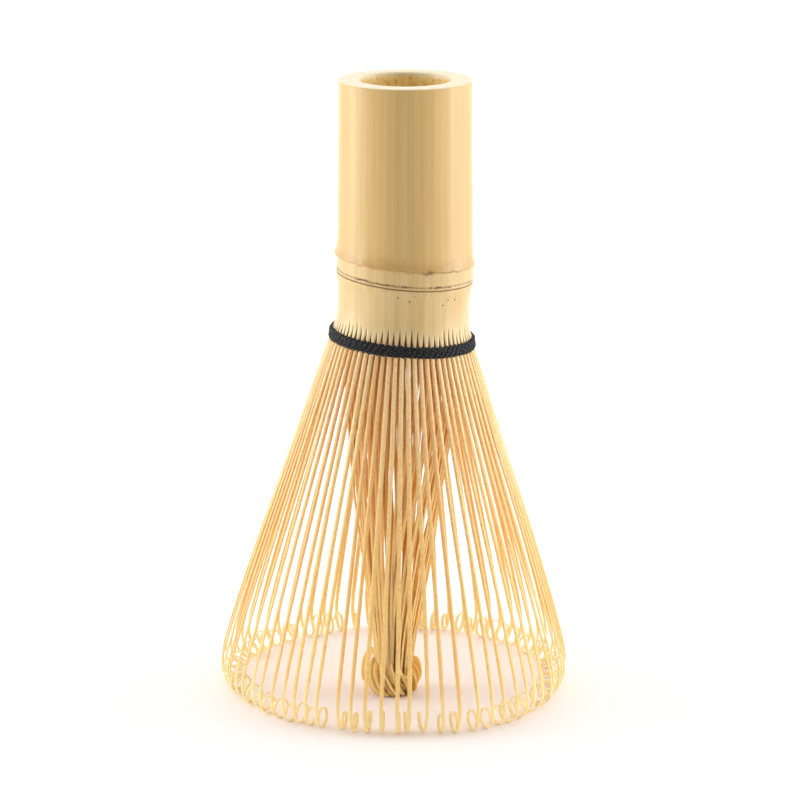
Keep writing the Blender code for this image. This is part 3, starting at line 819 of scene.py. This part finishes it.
def make_inner_tines():
    material = tine_material(
        "inner_tine_bamboo",
        # painted shade: the dark root colour stands for the shadow on the tops of the inner tines
        # inside the culm
        root=(0.700, 0.330, 0.090), shaft=(0.970, 0.670, 0.265), dark=(0.740, 0.330, 0.075),
        tip=(1.000, 0.730, 0.300), tip_under=0.10, glow=0.45,
    )
    for group in range(GROUPS):
        rods = Rods()
        middle = (group * PER_GROUP + PER_GROUP / 2) * TINE_STEP
        for number in range(PER_GROUP):
            layer = GROUP_LAYERS[number]
            before = GROUP_LAYERS[:number].count(layer)
            same = GROUP_LAYERS.count(layer)
            foot = middle + (before - (same - 1) / 2) * (TINE_STEP * PER_GROUP / same)
            azimuth = (group * PER_GROUP + number + 0.5) * TINE_STEP
            inner_tine(rods, azimuth, layer, foot, group * PER_GROUP + number)
        obj = rods.finish(f"inner_splints_{group + 1:02d}", material)
        hang(obj, f"inner_tines_{group + 1:02d}", middle, INNER_ROOT, -0.010)


# ---- thread -----------------------------------------------------------------------------------


PLY_RADIUS = 0.00031
PLY_TWISTS = 96  # in one turn round the whisk
lumps = Ripple((37, 53, 71, 97, 131, 167), 77)


def strand(points, faces, ply, radius_at, height_at, thickness, twist, sides=10, steps=1008):
    """Adds one closed strand of two twisted plies that runs round the culm."""
    angles = np.linspace(0, 2 * math.pi, steps, endpoint=False)
    radii, heights = radius_at(angles), height_at(angles)
    path = np.stack((radii * np.cos(angles), radii * np.sin(angles), heights), axis=1)
    ahead = np.roll(path, -1, axis=0) - np.roll(path, 1, axis=0)
    ahead /= np.linalg.norm(ahead, axis=1)[:, None]
    out = np.stack((np.cos(angles), np.sin(angles), np.zeros_like(angles)), axis=1)
    out -= (out * ahead).sum(1)[:, None] * ahead
    out /= np.linalg.norm(out, axis=1)[:, None]
    up = np.cross(ahead, out)
    swelling = 1 + 0.16 * lumps(angles + radii * 900)
    first = len(points)
    for at in range(steps):
        for side in range(sides):
            way = 2 * math.pi * side / sides
            lobe = 0.5 + 0.5 * math.cos(2 * (way - twist * angles[at]))
            size = thickness * (0.68 + 0.36 * lobe) * swelling[at]
            points.append(path[at] + (out[at] * math.cos(way) + up[at] * math.sin(way)) * size)
            ply.append(lobe)
    for at in range(steps):
        after = (at + 1) % steps
        for side in range(sides):
            following = (side + 1) % sides
            faces.append((first + at * sides + side, first + after * sides + side,
                          first + after * sides + following, first + at * sides + following))


# the three rows of thread: height over the band in mm, phase of the weave, radius in mm
THREAD_ROWS = ((0.60, 0.0, 12.82), (0.03, 0.9, 12.90), (-0.55, 1.9, 13.02))


def make_thread():
    points, faces, ply = [], [], []
    half = TINES / 2
    wander = Ripple((2, 3, 5, 8), 31)
    for rise, phase, radius in THREAD_ROWS:
        for turn in (0.0, math.pi):

            def weave(a):
                return half * a + phase + turn + 0.9 * wander(a * 2 + phase)

            def radius_at(a):
                return (radius + 0.17 * np.cos(weave(a)) + 0.05 * wander(a + phase)) * MM

            def height_at(a):
                swing = 0.25 * np.sin(weave(a))
                return BAND_Z + (rise + swing + 0.07 * wander(a * 3 + phase)) * MM

            strand(points, faces, ply, radius_at, height_at, PLY_RADIUS, PLY_TWISTS)
    strand(points, faces, ply, lambda a: 0.01165 + 0 * a, lambda a: BAND_Z - 0.0005 + 0 * a,
           0.00025, 150, 8, 504)
    obj = mesh_object("thread_binding", settle(points), faces, (("ply", ply),))
    obj.data.materials.append(thread_material())
    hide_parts("thread_row_1", "thread_row_2", "thread_row_3", "thread_inside_row")
    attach(obj, "culm")


FIBRES = 150
FIBRE_RINGS = 7


def make_fuzz():
    """Loose fibres that stand off the thread."""
    points, faces = [], []
    for _ in range(FIBRES):
        angle = chance.uniform(0, 2 * math.pi)
        rise = chance.uniform(-1.0, 1.0)
        stand = chance.uniform(0.12, 0.42)
        length = chance.uniform(0.4, 1.3)
        slope = chance.uniform(-0.5, 0.5)
        path = []
        for share in np.linspace(0, 1, FIBRE_RINGS):
            at = angle + length * (share - 0.5) / 13.5
            radius = 13.15 + stand * math.sin(math.pi * share) ** 0.8
            path.append(around(radius * MM, at, BAND_Z + (rise + slope * (share - 0.5)) * MM, 0.0))
        path = np.array(path)
        first = len(points)
        thick = chance.uniform(0.010, 0.020) * MM
        for place in path:
            out = Vector((place[0], place[1], 0)).normalized()
            for u, v in ((thick, 0), (-thick, thick), (-thick, -thick)):
                points.append(tuple(Vector(place) + out * u + Vector((0, 0, v))))
        for at in range(FIBRE_RINGS - 1):
            for side in range(3):
                following = (side + 1) % 3
                a, b = first + at * 3, first + (at + 1) * 3
                faces.append((a + side, a + following, b + following, b + side))
    obj = mesh_object("thread_fuzz", settle(points), faces)
    obj.data.materials.append(fuzz_material())
    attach(obj, "culm")


# ---- stage ------------------------------------------------------------------------------------


def make_stage():
    mesh = bpy.data.meshes.new("floor")
    half = 4.0
    corners = [(-half, -half, 0), (half, -half, 0), (half, half, 0), (-half, half, 0)]
    mesh.from_pydata(corners, [], [(0, 1, 2, 3)])
    floor = bpy.data.objects.new("floor", mesh)
    bpy.context.scene.collection.objects.link(floor)
    mesh.materials.append(floor_material())


def area_light(name, place, target, size, power, spread):
    data = bpy.data.lights.new(name, "AREA")
    data.shape = "RECTANGLE"
    data.size, data.size_y = size
    data.energy = power
    data.spread = math.radians(spread)
    light = bpy.data.objects.new(name, data)
    light.location = place
    light.rotation_euler = (Vector(target) - Vector(place)).to_track_quat("-Z", "Y").to_euler()
    bpy.context.scene.collection.objects.link(light)


# name, place, target, size in metres, power in watts, spread in degrees
LIGHTS = (
    ("left_box", (-0.46, 0.03, 0.15), (0.0, 0.0, 0.08), (0.30, 0.30), 1.32, 180),
    ("right_box", (0.46, 0.03, 0.15), (0.0, 0.0, 0.08), (0.30, 0.30), 1.30, 180),
    ("ceiling", (0.0, 1.2, 2.6), (0.0, 1.2, 0.0), (8.0, 8.0), 55.0, 180),
    ("far_box", (0.0, 1.00, 1.10), (0.0, 1.10, 0.0), (2.0, 0.5), 12.0, 100),
    ("front_fill", (0.0, -0.30, 0.022), (0.0, 0.0, 0.014), (0.20, 0.03), 0.006, 26),
)
DARK_SIDE = (0.0, -0.97, 0.24)  # the world is dim from here, which shades the front


def make_lights():
    for light in LIGHTS:
        area_light(*light)
    world = bpy.data.worlds.new("studio")
    bpy.context.scene.world = world
    world.use_nodes = True
    tree = world.node_tree
    place = tree.nodes.new("ShaderNodeTexCoord").outputs["Generated"]
    toward = tree.nodes.new("ShaderNodeVectorMath")
    toward.operation = "DOT_PRODUCT"
    toward.inputs[1].default_value = DARK_SIDE
    tree.links.new(place, toward.inputs[0])
    shade = tree.nodes.new("ShaderNodeMapRange")
    shade.interpolation_type = "SMOOTHSTEP"
    shade.inputs["From Min"].default_value = 0.17
    shade.inputs["From Max"].default_value = 0.85
    shade.inputs["To Min"].default_value = 0.98
    shade.inputs["To Max"].default_value = 0.10
    tree.links.new(toward.outputs["Value"], shade.inputs["Value"])
    background = tree.nodes["Background"]
    background.inputs["Color"].default_value = (1.0, 0.995, 0.985, 1.0)
    tree.links.new(shade.outputs["Result"], background.inputs["Strength"])


SENSOR = 36.0  # mm across
FOCAL_PIXELS = 3315
PICTURE_PIXELS = 800
CAMERA_PLACE = (0.00115, -0.587, 0.2062)
CAMERA_DIP = 0.2541  # radians below level


def make_camera():
    data = bpy.data.cameras.new("camera")
    data.sensor_width = SENSOR
    data.lens = SENSOR * FOCAL_PIXELS / PICTURE_PIXELS
    data.clip_start, data.clip_end = 0.01, 20.0
    camera = bpy.data.objects.new("camera", data)
    camera.location = CAMERA_PLACE
    camera.rotation_euler = (math.pi / 2 - CAMERA_DIP, 0.0, 0.0)
    bpy.context.scene.collection.objects.link(camera)
    bpy.context.scene.camera = camera
    bpy.context.scene.view_settings.view_transform = "Standard"


make_culm()
make_outer_tines()
make_inner_tines()
make_thread()
make_fuzz()
make_stage()
make_lights()
make_camera()
